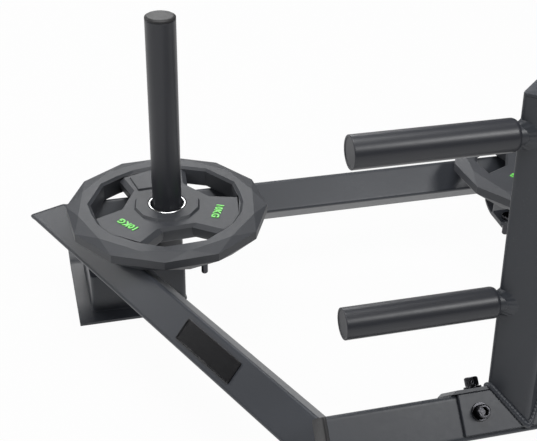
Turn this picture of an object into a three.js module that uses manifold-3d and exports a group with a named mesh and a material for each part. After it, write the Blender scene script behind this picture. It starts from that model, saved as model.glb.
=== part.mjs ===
// Push sled: a frame of square tubes set on edge, two weight pegs with plates, a mast with handles.
// Millimetres, +Z up, +Y is the way the sled is pushed, +X to the right of the person pushing it.
import * as THREE from 'three';
import { mergeVertices } from 'three/addons/utils/BufferGeometryUtils.js';
import Module from 'manifold-3d';

// Fits
const gap = 0.3;
const screwClearance = 0.5;

// Square tube, shared by the frame, the crossbar and the mast
const tubeSide = 60;
const tubeWall = 3;
const tubeCorner = 4.5;

// Base frame, measured from the axis of a weight peg
const ridgeHeight = 165;
const pegSpan = 720;
const beamAheadOfPeg = 94;
const railAngle = 24.1;
const railFromPeg = 115.4;
const railEndBehindPeg = 700;

// Crossbar and mast
const crossbarBehindPeg = 613;
const crossbarHalf = 262;
const crossbarRise = 74;
const mastHeight = 644;
const mastLean = 4.3;
const mastCapThick = 4;

// Plates that hold the mast's foot to the crossbar
const footPlateThick = 5;
const footPlateNearHalf = 86;
const footPlateFarHalf = 92;
const footPlateDrop = 54;
const footPlateBevel = 6;
const footPlateEdge = 1;
const footScrewNearOffset = 60.5;
const footScrewFarOffset = 50;
const footScrewNearLift = 4;

// Handles
const handlesBelowMastTop = [272, 47];
const gripDiameter = 40;
const gripLength = 199;
const gripToCentre = 45;
const gripChamfer = 7;
const gripPlugThick = 4;
const neckDiameter = 26;

// Weight pegs
const pegDiameter = 50;
const pegWall = 3;
const pegHeight = 537;
const pegCapThick = 5;
const pegCapStem = 16;

// Weight plates
const plateRadius = 174;
const plateThick = 37;
const plateWebThick = 29;
const plateSides = 12;
const rimWallBottom = 16.5;
const rimWallTop = 31;
const rimCrest = 154;
const rimSlope = 5;
const bossSlope = 3;
const bossRadius = 55;
const windowInner = 77;
const windowOuter = 128;
const windowCrown = 3;
const windowCount = 3;
const windowTurn = 34;
const windowHalfOuter = 35;
const windowHalfCrown = 15;
const windowHalfInner = 25;
const bushOuter = 67;
const bushWall = 6;
const bushPlay = 0.5;
const bushLead = 4;

// Front feet
const skidThick = 6;
const skidWidth = 193;
const skidOuterFromPeg = 169;
const skidBehindPeg = 53;
const skidAheadOfPeg = 168;
const toeRise = 15;
const toeRun = 38;
const footWidth = 169;
const footBehindPeg = 26;
const footAheadOfPeg = 132;
const footCorner = 9;
const footWall = 5;

// Rear feet
const rearSkidWidth = 130;
const rearSkidLength = 200;
const rearFootWidth = 92;
const rearFootLength = 120;
const rearFootSetBack = 640;

// Strap lug beside each weight peg, and its pin
const lugThick = 8;
const lugReach = 56;
const lugWidth = 44;
const pinDiameter = 12;
const pinReach = 38;
const pinDrop = 28;
const pinHead = 22;
const pinHeadThick = 7;
const pinSetBack = 8;

// Socket head screws and their washers
const screwDiameter = 12;
const screwHead = 18;
const screwHeadTall = 12;
const screwChamfer = 1;
const screwInside = 12;
const socketAcross = 10;
const socketDeep = 6;
const washerDiameter = 24;
const washerThick = 2.5;

// End plugs of the frame's tubes
const plugThick = 5;
const plugStem = 18;

// Name plate on each side rail, left bare
const namePlateLength = 134;
const namePlateWidth = 37;
const namePlateThick = 2;
const namePlateCentre = 311;

// Worked out from the sizes above
const rad = THREE.MathUtils.degToRad;
const halfDiagonal = tubeSide / Math.SQRT2;
const axisHeight = ridgeHeight - halfDiagonal;
const cornerLoss = tubeCorner * (Math.SQRT2 - 1);
const keelHeight = ridgeHeight - 2 * halfDiagonal + cornerLoss;
const crossbarAxis = ridgeHeight + crossbarRise - halfDiagonal;
const pegX = pegSpan / 2;
const railDirection = new THREE.Vector3(Math.sin(rad(railAngle)), -Math.cos(rad(railAngle)), 0);
const railInward = new THREE.Vector3(Math.cos(rad(railAngle)), Math.sin(rad(railAngle)), 0);
const plateFloor = ridgeHeight - cornerLoss + gap;
const up = new THREE.Vector3(0, 0, 1);
const right = new THREE.Vector3(1, 0, 0);

const wasm = await Module();
wasm.setup();

const colours = {
  blackPowder: { color: 0x3f4145, roughness: 0.42, metalness: 0.3 },
  blackSteel: { color: 0x1d1e20, roughness: 0.35, metalness: 0.7 },
  rubber: { color: 0x4a4b4e, roughness: 0.75, metalness: 0 },
  steel: { color: 0xd5d6d8, roughness: 0.25, metalness: 1 },
  plastic: { color: 0x26272a, roughness: 0.6, metalness: 0 },
  plate: { color: 0x17181a, roughness: 0.35, metalness: 0.2 },
};

const group = new THREE.Group();

function add(name, geometry, finish) {
  const mesh = new THREE.Mesh(geometry, new THREE.MeshStandardMaterial(colours[finish]));
  mesh.name = name;
  group.add(mesh);
  return mesh;
}

// Closed solid with only positions, its shared corners merged
function solid(geometry) {
  const bare = geometry.clone();
  bare.deleteAttribute('normal');
  bare.deleteAttribute('uv');
  const merged = mergeVertices(bare, 1e-4);
  return new wasm.Manifold(new wasm.Mesh({
    numProp: 3,
    vertProperties: new Float32Array(merged.attributes.position.array),
    triVerts: new Uint32Array(merged.index.array),
  }));
}

function geometryOf(manifold) {
  const mesh = manifold.getMesh();
  const geometry = new THREE.BufferGeometry();
  geometry.setAttribute('position', new THREE.BufferAttribute(mesh.vertProperties, 3));
  geometry.setIndex(new THREE.BufferAttribute(mesh.triVerts, 1));
  geometry.computeVertexNormals();
  return geometry;
}

function cut(geometry, ...tools) {
  return geometryOf(tools.reduce((body, tool) => body.subtract(solid(tool)), solid(geometry)));
}

function join(geometry, ...others) {
  return geometryOf(others.reduce((body, other) => body.add(solid(other)), solid(geometry)));
}

// A square with rounded corners standing on one corner, as a closed outline
function edgeSquare(PathType, side, corner, steps = 3) {
  const outline = new PathType();
  const reach = side / 2 - corner;
  const points = [];
  for (let quarter = 0; quarter < 4; quarter += 1) {
    const turn = quarter * Math.PI / 2 + Math.PI / 4;
    const cx = reach * Math.SQRT2 * Math.cos(turn + Math.PI / 4);
    const cy = reach * Math.SQRT2 * Math.sin(turn + Math.PI / 4);
    for (let step = 0; step <= steps; step += 1) {
      const angle = turn + step / steps * Math.PI / 2;
      points.push(new THREE.Vector2(cx + corner * Math.cos(angle), cy + corner * Math.sin(angle)));
    }
  }
  outline.setFromPoints(points);
  outline.closePath();
  return outline;
}

function tubeShape() {
  const shape = edgeSquare(THREE.Shape, tubeSide, tubeCorner);
  shape.holes.push(edgeSquare(THREE.Path, tubeSide - 2 * tubeWall, tubeCorner - tubeWall));
  return shape;
}

// Carries an outline from start to end; each end is trimmed on a plane of its own through its point
function member(shape, start, end, { across = null, startPlane = null, endPlane = null } = {}) {
  const along = end.clone().sub(start);
  const length = along.length();
  along.normalize();
  const height = up.clone().addScaledVector(along, -up.dot(along)).normalize();
  const side = across ? across.clone() : height.clone().cross(along);
  const rise = along.clone().cross(side);
  const geometry = new THREE.ExtrudeGeometry(shape, { depth: length, bevelEnabled: false });
  const position = geometry.attributes.position;
  for (let i = 0; i < position.count; i += 1) {
    const offset = side.clone().multiplyScalar(position.getX(i));
    offset.addScaledVector(rise, position.getY(i));
    const atEnd = position.getZ(i) > length / 2;
    const plane = (atEnd ? endPlane : startPlane) ?? along;
    const shift = -offset.dot(plane) / along.dot(plane);
    const point = (atEnd ? end : start).clone().add(offset).addScaledVector(along, shift);
    position.setXYZ(i, point.x, point.y, point.z);
  }
  geometry.computeVertexNormals();
  return geometry;
}

// A flat outline laid out in its own plane: x along a direction, y along another, thickness outward
function platePiece(shape, thick, origin, alongX, alongY) {
  const geometry = new THREE.ExtrudeGeometry(shape, { depth: thick, bevelEnabled: false });
  const outward = alongX.clone().cross(alongY);
  geometry.applyMatrix4(new THREE.Matrix4().makeBasis(alongX, alongY, outward));
  geometry.translate(origin.x, origin.y, origin.z);
  return geometry;
}

function polygon(points) {
  return new THREE.Shape(points.map(([x, y]) => new THREE.Vector2(x, y)));
}

function box(x0, x1, y0, y1, z0, z1) {
  const geometry = new THREE.BoxGeometry(x1 - x0, y1 - y0, z1 - z0);
  geometry.translate((x0 + x1) / 2, (y0 + y1) / 2, (z0 + z1) / 2);
  return geometry;
}

// A turned piece: profile of radius and height pairs, its axis along a direction from a point
function turned(profile, origin, direction, sides) {
  const geometry = new THREE.LatheGeometry(profile.map(([r, h]) => new THREE.Vector2(r, h)), sides);
  const turn = new THREE.Quaternion().setFromUnitVectors(new THREE.Vector3(0, 1, 0), direction);
  geometry.applyQuaternion(turn);
  geometry.translate(origin.x, origin.y, origin.z);
  return geometry;
}

function rod(diameter, from, to, origin, direction, sides = 20) {
  const r = diameter / 2;
  return turned([[0, from], [r, from], [r, to], [0, to]], origin, direction, sides);
}

function mirrored(geometry) {
  const copy = geometry.clone();
  copy.applyMatrix4(new THREE.Matrix4().makeScale(-1, 1, 1));
  const index = copy.index;
  const corners = index ? index.count : copy.attributes.position.count;
  const turnedOver = [];
  for (let i = 0; i < corners; i += 3) {
    const [a, b, c] = [i, i + 1, i + 2].map((k) => (index ? index.getX(k) : k));
    turnedOver.push(a, c, b);
  }
  copy.setIndex(turnedOver);
  copy.computeVertexNormals();
  return copy;
}

function addPair(name, geometry, finish) {
  add(`${name}_left`, geometry, finish);
  add(`${name}_right`, mirrored(geometry), finish);
}

// Places on the left side, in sled coordinates with the pegs' line at y = 0
function railPoint(y) {
  const offset = (-railFromPeg - railInward.y * y) / railInward.x;
  return new THREE.Vector3(-pegX + offset, y, axisHeight);
}

// Base frame
const corner = railPoint(beamAheadOfPeg);
const mitre = right.clone().sub(railDirection).normalize();
const halfGap = gap / 2 / right.dot(mitre);
const beamStart = corner.clone().addScaledVector(right, halfGap);
const beamEnd = new THREE.Vector3(-beamStart.x, beamStart.y, beamStart.z);
const mitreRight = new THREE.Vector3(-mitre.x, mitre.y, 0);
add('front_beam', member(tubeShape(), beamStart, beamEnd, { startPlane: mitre, endPlane: mitreRight }), 'blackPowder');

const railStart = corner.clone().addScaledVector(railDirection, halfGap);
const railEnd = railPoint(-railEndBehindPeg);
const leftRail = member(tubeShape(), railStart, railEnd, { startPlane: mitre });
addPair('side_rail', leftRail, 'blackPowder');

// End plugs of the side rails
const plugFace = edgeSquare(THREE.Shape, tubeSide, tubeCorner);
const plugStemShape = edgeSquare(THREE.Shape, tubeSide - 2 * (tubeWall + gap), tubeCorner - tubeWall);
const plugStart = railEnd.clone().addScaledVector(railDirection, gap);
const plugEnd = plugStart.clone().addScaledVector(railDirection, plugThick);
const stemStart = railEnd.clone().addScaledVector(railDirection, -plugStem);
addPair('rail_plug', join(
  member(plugFace, plugStart, plugEnd),
  member(plugStemShape, stemStart, plugEnd),
), 'plastic');

// Name plates, lying on the outer upper faces of the side rails
const outerSlope = up.clone().sub(railInward).normalize();
const plateCentre = new THREE.Vector3(-pegX, 0, axisHeight)
  .addScaledVector(railInward, -railFromPeg)
  .addScaledVector(railDirection, namePlateCentre)
  .addScaledVector(outerSlope, tubeSide / 2 + gap);
const halfLength = namePlateLength / 2;
const halfWidth = namePlateWidth / 2;
const namePlateOutline = polygon([
  [-halfLength, -halfWidth], [halfLength, -halfWidth], [halfLength, halfWidth], [-halfLength, halfWidth],
]);
const acrossRail = outerSlope.clone().cross(railDirection);
addPair('name_plate', platePiece(namePlateOutline, namePlateThick, plateCentre, railDirection, acrossRail), 'plate');

// Crossbar, notched over both side rails
const clearTube = edgeSquare(THREE.Shape, tubeSide + 2 * gap, tubeCorner + gap);
const railPassing = member(clearTube, railStart, railEnd);
const crossbarStart = new THREE.Vector3(-crossbarHalf, -crossbarBehindPeg, crossbarAxis);
const crossbarEnd = new THREE.Vector3(crossbarHalf, -crossbarBehindPeg, crossbarAxis);
const slopes = { near: new THREE.Vector3(0, -1, 1).normalize(), far: new THREE.Vector3(0, 1, 1).normalize() };

// Middle of a crossbar face at a distance along x, on the outer surface of the tube
function facePoint(x, slope) {
  return new THREE.Vector3(x, -crossbarBehindPeg, crossbarAxis).addScaledVector(slope, tubeSide / 2);
}

// Places of the four screws: slope, distance along x, lift up the slope from its middle
const holeDiameter = screwDiameter + 2 * screwClearance;
const screwPlaces = { near: [footScrewNearOffset, footScrewNearLift], far: [footScrewFarOffset, 0] };
const downSlope = (slope) => new THREE.Vector3(0, slope.y, -slope.z).normalize();
function screwPoint(face, sign) {
  const [offset, lift] = screwPlaces[face];
  return facePoint(sign * offset, slopes[face]).addScaledVector(downSlope(slopes[face]), -lift);
}
const screwHoles = [];
for (const face of ['near', 'far']) {
  for (const sign of [-1, 1]) {
    const holeReach = 2 * tubeWall + footPlateThick;
    screwHoles.push(rod(holeDiameter, -holeReach, holeReach, screwPoint(face, sign), slopes[face], 16));
  }
}
const crossbarBody = member(tubeShape(), crossbarStart, crossbarEnd);
add('crossbar', cut(crossbarBody, railPassing, mirrored(railPassing), ...screwHoles), 'blackPowder');

const crossbarPlug = join(
  member(plugFace, new THREE.Vector3(-plugThick, 0, 0), new THREE.Vector3()),
  member(plugStemShape, new THREE.Vector3(-plugThick, 0, 0), new THREE.Vector3(plugStem, 0, 0)),
);
crossbarPlug.translate(crossbarStart.x - gap, crossbarStart.y, crossbarStart.z);
addPair('crossbar_plug', crossbarPlug, 'plastic');

// Foot plates: one on each upper face of the crossbar, the far one lapping over the near one's edge
function footPlate(face, lap, profile) {
  const slope = slopes[face];
  const down = downSlope(slope);
  const start = facePoint(0, slope).addScaledVector(down, -tubeSide / 2 - lap).addScaledVector(slope, gap);
  const alongX = slope.clone().cross(down);
  const body = platePiece(polygon(profile), footPlateDrop + lap, start, alongX, slope);
  add(`mast_foot_plate_${face}`, cut(body, ...screwHoles), 'blackPowder');
}
footPlate('near', -gap, [
  [-footPlateNearHalf, 0], [footPlateNearHalf, 0],
  [footPlateNearHalf, footPlateThick], [-footPlateNearHalf, footPlateThick],
]);
footPlate('far', footPlateThick + gap, [
  [-footPlateFarHalf, 0], [footPlateFarHalf, 0], [footPlateFarHalf, footPlateEdge],
  [footPlateFarHalf - footPlateBevel, footPlateThick], [footPlateBevel - footPlateFarHalf, footPlateThick],
  [-footPlateFarHalf, footPlateEdge],
]);

// Socket head screws and washers that hold the foot plates
for (const face of ['near', 'far']) {
  for (const [side, sign] of [['left', -1], ['right', 1]]) {
    const slope = slopes[face];
    const plateTop = screwPoint(face, sign).addScaledVector(slope, gap + footPlateThick);
    const headSeat = plateTop.clone().addScaledVector(slope, gap + washerThick + gap);
    const headRadius = screwHead / 2;
    const screwEnd = -screwInside - washerThick - footPlateThick;
    const screw = turned([
      [0, screwEnd], [screwDiameter / 2, screwEnd],
      [screwDiameter / 2, 0], [headRadius, 0], [headRadius, screwHeadTall - screwChamfer],
      [headRadius - screwChamfer, screwHeadTall], [0, screwHeadTall],
    ], headSeat, slope, 24);
    const socketRadius = socketAcross / Math.sqrt(3);
    const socket = rod(2 * socketRadius, screwHeadTall - socketDeep, screwHeadTall + 1, headSeat, slope, 6);
    add(`foot_screw_${face}_${side}`, cut(screw, socket), 'blackSteel');
    add(`foot_washer_${face}_${side}`, turned([
      [holeDiameter / 2, gap], [washerDiameter / 2, gap], [washerDiameter / 2, gap + washerThick],
      [holeDiameter / 2, gap + washerThick], [holeDiameter / 2, gap],
    ], plateTop, slope, 28), 'blackSteel');
  }
}

// Mast, leaning forward, its foot cut over the plates' ridge
const mastAxis = new THREE.Vector3(0, Math.sin(rad(mastLean)), Math.cos(rad(mastLean)));
const saddleSide = tubeSide + 2 * (footPlateThick + 2 * gap);
const saddleShape = edgeSquare(THREE.Shape, saddleSide, 0.5);
const saddleHalf = 2 * tubeSide;
const saddle = member(
  saddleShape,
  new THREE.Vector3(-saddleHalf, -crossbarBehindPeg, crossbarAxis),
  new THREE.Vector3(saddleHalf, -crossbarBehindPeg, crossbarAxis),
);
const mastFoot = new THREE.Vector3(0, -crossbarBehindPeg, crossbarAxis);
const mastTopAlong = (mastHeight - crossbarAxis) / mastAxis.z;
const mastTop = mastFoot.clone().addScaledVector(mastAxis, mastTopAlong);
add('mast', cut(member(tubeShape(), mastFoot, mastTop, { across: right }), saddle), 'blackPowder');

function mastPoint(height) {
  return mastFoot.clone().addScaledVector(mastAxis, (height - crossbarAxis) / mastAxis.z);
}
const mastCapBase = mastTop.clone().addScaledVector(mastAxis, gap);
const mastCapTop = mastCapBase.clone().addScaledVector(mastAxis, mastCapThick);
add('mast_cap', member(plugFace, mastCapBase, mastCapTop, { across: right }), 'blackPowder');

// Handles: a bar coped to the mast's corner, a grip tube over it and a plug in the grip's outer end
const mastPassing = member(
  edgeSquare(THREE.Shape, tubeSide + 2 * gap, tubeCorner + gap), mastFoot, mastTop, { across: right },
);
const gripRadius = gripDiameter / 2;
const neckRadius = neckDiameter / 2;
const leftward = new THREE.Vector3(-1, 0, 0);
const gripBore = neckRadius + gap;
handlesBelowMastTop.forEach((below, level) => {
  const centre = mastPoint(mastHeight - below);
  const gripEnd = gripToCentre + gripLength;
  const bar = rod(neckDiameter, 0, gripEnd - gripPlugThick - gap, centre, leftward, 24);
  const grip = turned([
    [gripBore, gripToCentre], [gripRadius - gripChamfer, gripToCentre],
    [gripRadius, gripToCentre + gripChamfer], [gripRadius, gripEnd], [gripRadius - tubeWall, gripEnd],
    [gripRadius - tubeWall, gripEnd - gripPlugThick], [gripBore, gripEnd - gripPlugThick],
    [gripBore, gripToCentre],
  ], centre, leftward, 32);
  const plugFrom = gripEnd - gripPlugThick + gap;
  const plug = rod(gripDiameter - 2 * (tubeWall + gap), plugFrom, gripEnd, centre, leftward, 32);
  const label = level === 0 ? 'low' : 'high';
  addPair(`handle_bar_${label}`, cut(bar, mastPassing), 'blackPowder');
  addPair(`handle_grip_${label}`, grip, 'blackPowder');
  addPair(`handle_plug_${label}`, plug, 'blackPowder');
});

// Front feet: a folded skid and the box between it and the tubes
const pegAt = new THREE.Vector3(-pegX, 0, 0);
const footInner = pegAt.x + pegDiameter / 2 + gap;
const footOuter = footInner - footWidth;
const footTop = keelHeight - gap;
const footBottom = skidThick + gap;

function roundedRectangle(x0, x1, y0, y1, r) {
  const shape = new THREE.Shape();
  shape.absarc(x1 - r, y1 - r, r, 0, Math.PI / 2);
  shape.absarc(x0 + r, y1 - r, r, Math.PI / 2, Math.PI);
  shape.absarc(x0 + r, y0 + r, r, Math.PI, 1.5 * Math.PI);
  shape.absarc(x1 - r, y0 + r, r, 1.5 * Math.PI, 2 * Math.PI);
  return shape;
}

// A box of bent sheet, open underneath, with one web across its middle
function footBox(x0, x1, y0, y1) {
  const shape = roundedRectangle(x0, x1, y0, y1, footCorner);
  const depth = footTop - footBottom;
  const geometry = new THREE.ExtrudeGeometry(shape, { depth, bevelEnabled: false, curveSegments: 3 });
  geometry.translate(0, 0, footBottom);
  const webX = (x0 + x1) / 2;
  const cells = [[x0 + footWall, webX - footWall / 2], [webX + footWall / 2, x1 - footWall]];
  const hollows = cells.map(([from, to]) => (
    box(from, to, y0 + footWall, y1 - footWall, footBottom - footWall, footTop - footWall)
  ));
  return cut(geometry, ...hollows);
}

// Side view of a skid: flat on the floor, its toe bent up in a curve; a heel bend is optional
function skid(x0, x1, y0, y1, heelRun) {
  const shape = new THREE.Shape();
  const steps = 6;
  const under = [];
  const climb = (t) => toeRise * t * t;
  for (let i = 0; i <= steps; i += 1) {
    under.push([y1 - toeRun + toeRun * i / steps, climb(i / steps)]);
  }
  const heel = [];
  for (let i = 0; i <= (heelRun ? steps : 0); i += 1) {
    heel.push([y0 + heelRun - heelRun * i / steps, heelRun ? climb(i / steps) : 0]);
  }
  const lower = [...heel.reverse(), ...under];
  const upper = lower.map(([y, z]) => [y, z + skidThick]).reverse();
  shape.setFromPoints([...lower, ...upper].map(([y, z]) => new THREE.Vector2(y, z)));
  const geometry = new THREE.ExtrudeGeometry(shape, { depth: x1 - x0, bevelEnabled: false });
  geometry.applyMatrix4(new THREE.Matrix4().makeBasis(
    new THREE.Vector3(0, 1, 0), new THREE.Vector3(0, 0, 1), new THREE.Vector3(1, 0, 0),
  ));
  geometry.translate(x0, 0, 0);
  return geometry;
}

addPair('front_foot', footBox(footOuter, footInner, -footBehindPeg, footAheadOfPeg), 'blackPowder');
const skidOuter = pegAt.x - skidOuterFromPeg;
addPair('front_skid', skid(skidOuter, skidOuter + skidWidth, -skidBehindPeg, skidAheadOfPeg, 0), 'blackPowder');

// Rear feet under the side rails' ends
const rearCentre = railPoint(-rearFootSetBack);
const halfRearWidth = rearFootWidth / 2;
const halfRearLength = rearFootLength / 2;
addPair('rear_foot', footBox(
  rearCentre.x - halfRearWidth, rearCentre.x + halfRearWidth,
  rearCentre.y - halfRearLength, rearCentre.y + halfRearLength,
), 'blackPowder');
addPair('rear_skid', skid(
  rearCentre.x - rearSkidWidth / 2, rearCentre.x + rearSkidWidth / 2,
  rearCentre.y - rearSkidLength / 2, rearCentre.y + rearSkidLength / 2, toeRun,
), 'blackPowder');

// Weight pegs and their caps
const pegFoot = footTop + gap;
const pegRadius = pegDiameter / 2;
const pegInside = pegRadius - pegWall;
const pegOrigin = new THREE.Vector3(pegAt.x, 0, 0);
addPair('weight_peg', turned([
  [pegInside, pegFoot], [pegRadius, pegFoot], [pegRadius, pegHeight], [pegInside, pegHeight],
  [pegInside, pegFoot],
], pegOrigin, up, 36), 'blackPowder');
const capFrom = pegHeight + gap;
addPair('peg_cap', turned([
  [0, capFrom - pegCapStem], [pegInside - gap, capFrom - pegCapStem], [pegInside - gap, capFrom],
  [pegRadius, capFrom], [pegRadius, capFrom + pegCapThick / 2], [pegRadius - pegCapThick, capFrom + pegCapThick],
  [0, capFrom + pegCapThick],
], pegOrigin, up, 36), 'plastic');

// Strap lug on the inner side of the foot, and the pin that hangs through it
const lugFrom = footInner + gap;
const lugStart = -footBehindPeg + footCorner;
const lugBottom = footTop - lugThick;
const pinAt = new THREE.Vector3(lugFrom + pinReach, lugStart + lugWidth / 2 - pinSetBack, footTop);
const pinHole = rod(pinDiameter + 2 * screwClearance, -2 * lugThick, lugThick, pinAt, up, 16);
const lugBody = box(lugFrom, lugFrom + lugReach, lugStart, lugStart + lugWidth, lugBottom, footTop);
addPair('strap_lug', cut(lugBody, pinHole), 'blackPowder');
const pinRadius = pinDiameter / 2;
addPair('strap_pin', turned([
  [0, -lugThick - pinDrop], [pinRadius - 1, -lugThick - pinDrop], [pinRadius, 1 - lugThick - pinDrop],
  [pinRadius, gap], [pinHead / 2, gap], [pinHead / 2, gap + pinHeadThick], [0, gap + pinHeadThick],
], pinAt, up, 20), 'blackSteel');

// Weight plates: a twelve-sided body with three windows, and a steel bush in its bore
const bushRadius = bushOuter / 2;
const plateBore = bushRadius + gap;
const plateAxis = new THREE.Vector3(pegAt.x, 0, plateFloor);

function plateWindow(turn) {
  const shape = new THREE.Shape();
  const corners = [
    [windowOuter, -windowHalfOuter], [windowOuter + windowCrown, -windowHalfCrown],
    [windowOuter + windowCrown, windowHalfCrown], [windowOuter, windowHalfOuter],
    [windowInner, windowHalfInner], [windowInner, -windowHalfInner],
  ];
  shape.setFromPoints(corners.map(([r, degrees]) => {
    const angle = rad(degrees + turn);
    return new THREE.Vector2(r * Math.cos(angle), r * Math.sin(angle));
  }));
  const geometry = new THREE.ExtrudeGeometry(shape, { depth: 2 * plateThick, bevelEnabled: false });
  geometry.translate(plateAxis.x, plateAxis.y, plateAxis.z - plateThick / 2);
  return geometry;
}

// Rings of twice as many corners as the plate has sides, each given as [radius, height] or as [radius at
// the crest's corners, radius at the wall's corners, height]. The wall's corners stand halfway between
// the crest's, so the facets between them are triangles: each face is split along its longer diagonal.
function facetedBody(rings, sides) {
  const count = 2 * sides;
  const corner = (ring, i) => {
    const radius = i % 2 && rings[ring].length === 3 ? rings[ring][1] : rings[ring][0];
    const angle = i * Math.PI / sides;
    return new THREE.Vector3(radius * Math.cos(angle), radius * Math.sin(angle), rings[ring].at(-1));
  };
  const points = [];
  for (let ring = 0; ring < rings.length; ring += 1) {
    for (let i = 0; i < count; i += 1) {
      const next = (ring + 1) % rings.length;
      const [a, b, c, d] = [corner(ring, i), corner(ring, i + 1), corner(next, i + 1), corner(next, i)];
      const alongAC = a.distanceTo(c) > b.distanceTo(d);
      points.push(...(alongAC ? [a, b, c, a, c, d] : [a, b, d, b, c, d]));
    }
  }
  return new THREE.BufferGeometry().setFromPoints(points);
}

const webBottom = (plateThick - plateWebThick) / 2;
const webTop = plateThick - webBottom;
const betweenCorners = Math.cos(Math.PI / plateSides);
const webOuter = windowOuter + windowCrown;
const rimInner = webOuter + rimSlope;
const bushBore = pegDiameter / 2 + bushPlay;
const bushMouth = bushRadius - bushWall;
const plateBody = facetedBody([
  [bushBore, 0], [bossRadius, 0], [bossRadius + bossSlope, webBottom], [webOuter, webBottom], [rimInner, 0],
  [rimCrest, rimCrest * betweenCorners, 0],
  [plateRadius * betweenCorners, plateRadius, rimWallBottom],
  [plateRadius * betweenCorners, plateRadius, rimWallTop],
  [rimCrest, rimCrest * betweenCorners, plateThick],
  [rimInner, plateThick], [webOuter, webTop], [bossRadius + bossSlope, webTop], [bossRadius, plateThick],
  [bushBore, plateThick],
], plateSides);
plateBody.rotateZ(rad(windowTurn));
plateBody.translate(plateAxis.x, plateAxis.y, plateAxis.z);
const plateHole = rod(2 * plateBore, -plateThick, 2 * plateThick, plateAxis, up, 36);
const windows = [];
for (let i = 0; i < windowCount; i += 1) {
  windows.push(plateWindow(windowTurn + 360 * i / windowCount));
}
const plate = cut(plateBody, plateHole, ...windows);
const bush = turned([
  [bushBore, bushLead], [bushMouth, 0], [bushRadius, 0], [bushRadius, plateThick], [bushMouth, plateThick],
  [bushBore, plateThick - bushLead], [bushBore, bushLead],
], plateAxis, up, 36);
for (const [side, shift] of [['left', 0], ['right', pegSpan]]) {
  add(`weight_plate_${side}`, plate.clone().translate(shift, 0, 0), 'rubber');
  add(`plate_bush_${side}`, bush.clone().translate(shift, 0, 0), 'steel');
}

group.updateMatrixWorld(true);
const bounds = new THREE.Box3().setFromObject(group);
const middle = bounds.getCenter(new THREE.Vector3());
group.position.set(-middle.x, -middle.y, -bounds.min.z);

export default group;
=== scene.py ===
"""Push sled: its surfaces and finishes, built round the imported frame.

Metres. x runs across the sled, y the way it is pushed, z up. Places are given from the line
through the two weight pegs, and peg_line moves them to the frame's own y.
"""

import math

import bmesh
import bpy
import numpy as np
from mathutils import Matrix, Vector


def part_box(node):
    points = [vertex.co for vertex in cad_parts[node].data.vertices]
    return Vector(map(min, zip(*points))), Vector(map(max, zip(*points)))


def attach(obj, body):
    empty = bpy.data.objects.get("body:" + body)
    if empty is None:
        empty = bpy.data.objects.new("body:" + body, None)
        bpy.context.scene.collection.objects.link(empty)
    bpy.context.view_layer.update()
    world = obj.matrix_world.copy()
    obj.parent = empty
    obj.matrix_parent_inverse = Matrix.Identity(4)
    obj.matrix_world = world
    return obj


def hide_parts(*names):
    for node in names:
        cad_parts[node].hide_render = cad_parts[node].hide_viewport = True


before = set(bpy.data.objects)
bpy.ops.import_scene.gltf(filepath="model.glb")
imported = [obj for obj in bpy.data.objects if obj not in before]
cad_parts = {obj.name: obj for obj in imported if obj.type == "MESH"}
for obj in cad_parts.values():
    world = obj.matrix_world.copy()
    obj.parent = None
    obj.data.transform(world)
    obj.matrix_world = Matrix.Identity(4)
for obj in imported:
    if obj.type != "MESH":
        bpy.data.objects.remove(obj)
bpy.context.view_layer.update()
mm = 0.001

# Places shared with the frame
low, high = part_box("weight_peg_left")
peg_line = (low.y + high.y) / 2
peg_x = -(low.x + high.x) / 2
peg_top = high.z
foot_top = low.z
floor_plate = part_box("weight_plate_left")[0].z
gap = 0.3 * mm

# Square tube, set on edge
tube_side = 60 * mm
tube_corner = 6.0 * mm
half_diagonal = tube_side / math.sqrt(2)
ridge = 165 * mm
axis_height = ridge - half_diagonal
beam_y = 94 * mm
rail_angle = math.radians(24.1)
rail_from_peg = 115.4 * mm
rail_end = 700 * mm
crossbar_y = -613 * mm
crossbar_half = 262 * mm
crossbar_axis = axis_height + 74 * mm
mast_height = 644 * mm
mast_lean = math.radians(4.3)

up = np.array([0.0, 0.0, 1.0])
right = np.array([1.0, 0.0, 0.0])
rail_along = np.array([math.sin(rail_angle), -math.cos(rail_angle), 0.0])
rail_inward = np.array([math.cos(rail_angle), math.sin(rail_angle), 0.0])
near_slope = np.array([0.0, -1.0, 1.0]) / math.sqrt(2)
far_slope = np.array([0.0, 1.0, 1.0]) / math.sqrt(2)
mast_axis = np.array([0.0, math.sin(mast_lean), math.cos(mast_lean)])


# ---------------------------------------------------------------- finishes

def colour(code):
    """sRGB hex to linear red, green, blue and 1."""
    part = np.array([int(code[i:i + 2], 16) for i in (1, 3, 5)]) / 255
    linear = np.where(part <= 0.04045, part / 12.92, ((part + 0.055) / 1.055) ** 2.4)
    return (*linear.tolist(), 1.0)


def node(tree, kind, settings=None, **links):
    """Adds one node. settings go to its own values or, where it has no such value, to its sockets;
    links are socket=source, a source being an output socket or a plain value."""
    made = tree.nodes.new(kind)
    for name, value in (settings or {}).items():
        if hasattr(made, name):
            setattr(made, name, value)
        else:
            made.inputs[name].default_value = value
    for name, source in links.items():
        socket = made.inputs[int(name[1:])] if name[0] == "_" else made.inputs[name.replace("_", " ")]
        if isinstance(source, bpy.types.NodeSocket):
            tree.links.new(source, socket)
        else:
            socket.default_value = source
    return made


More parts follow.
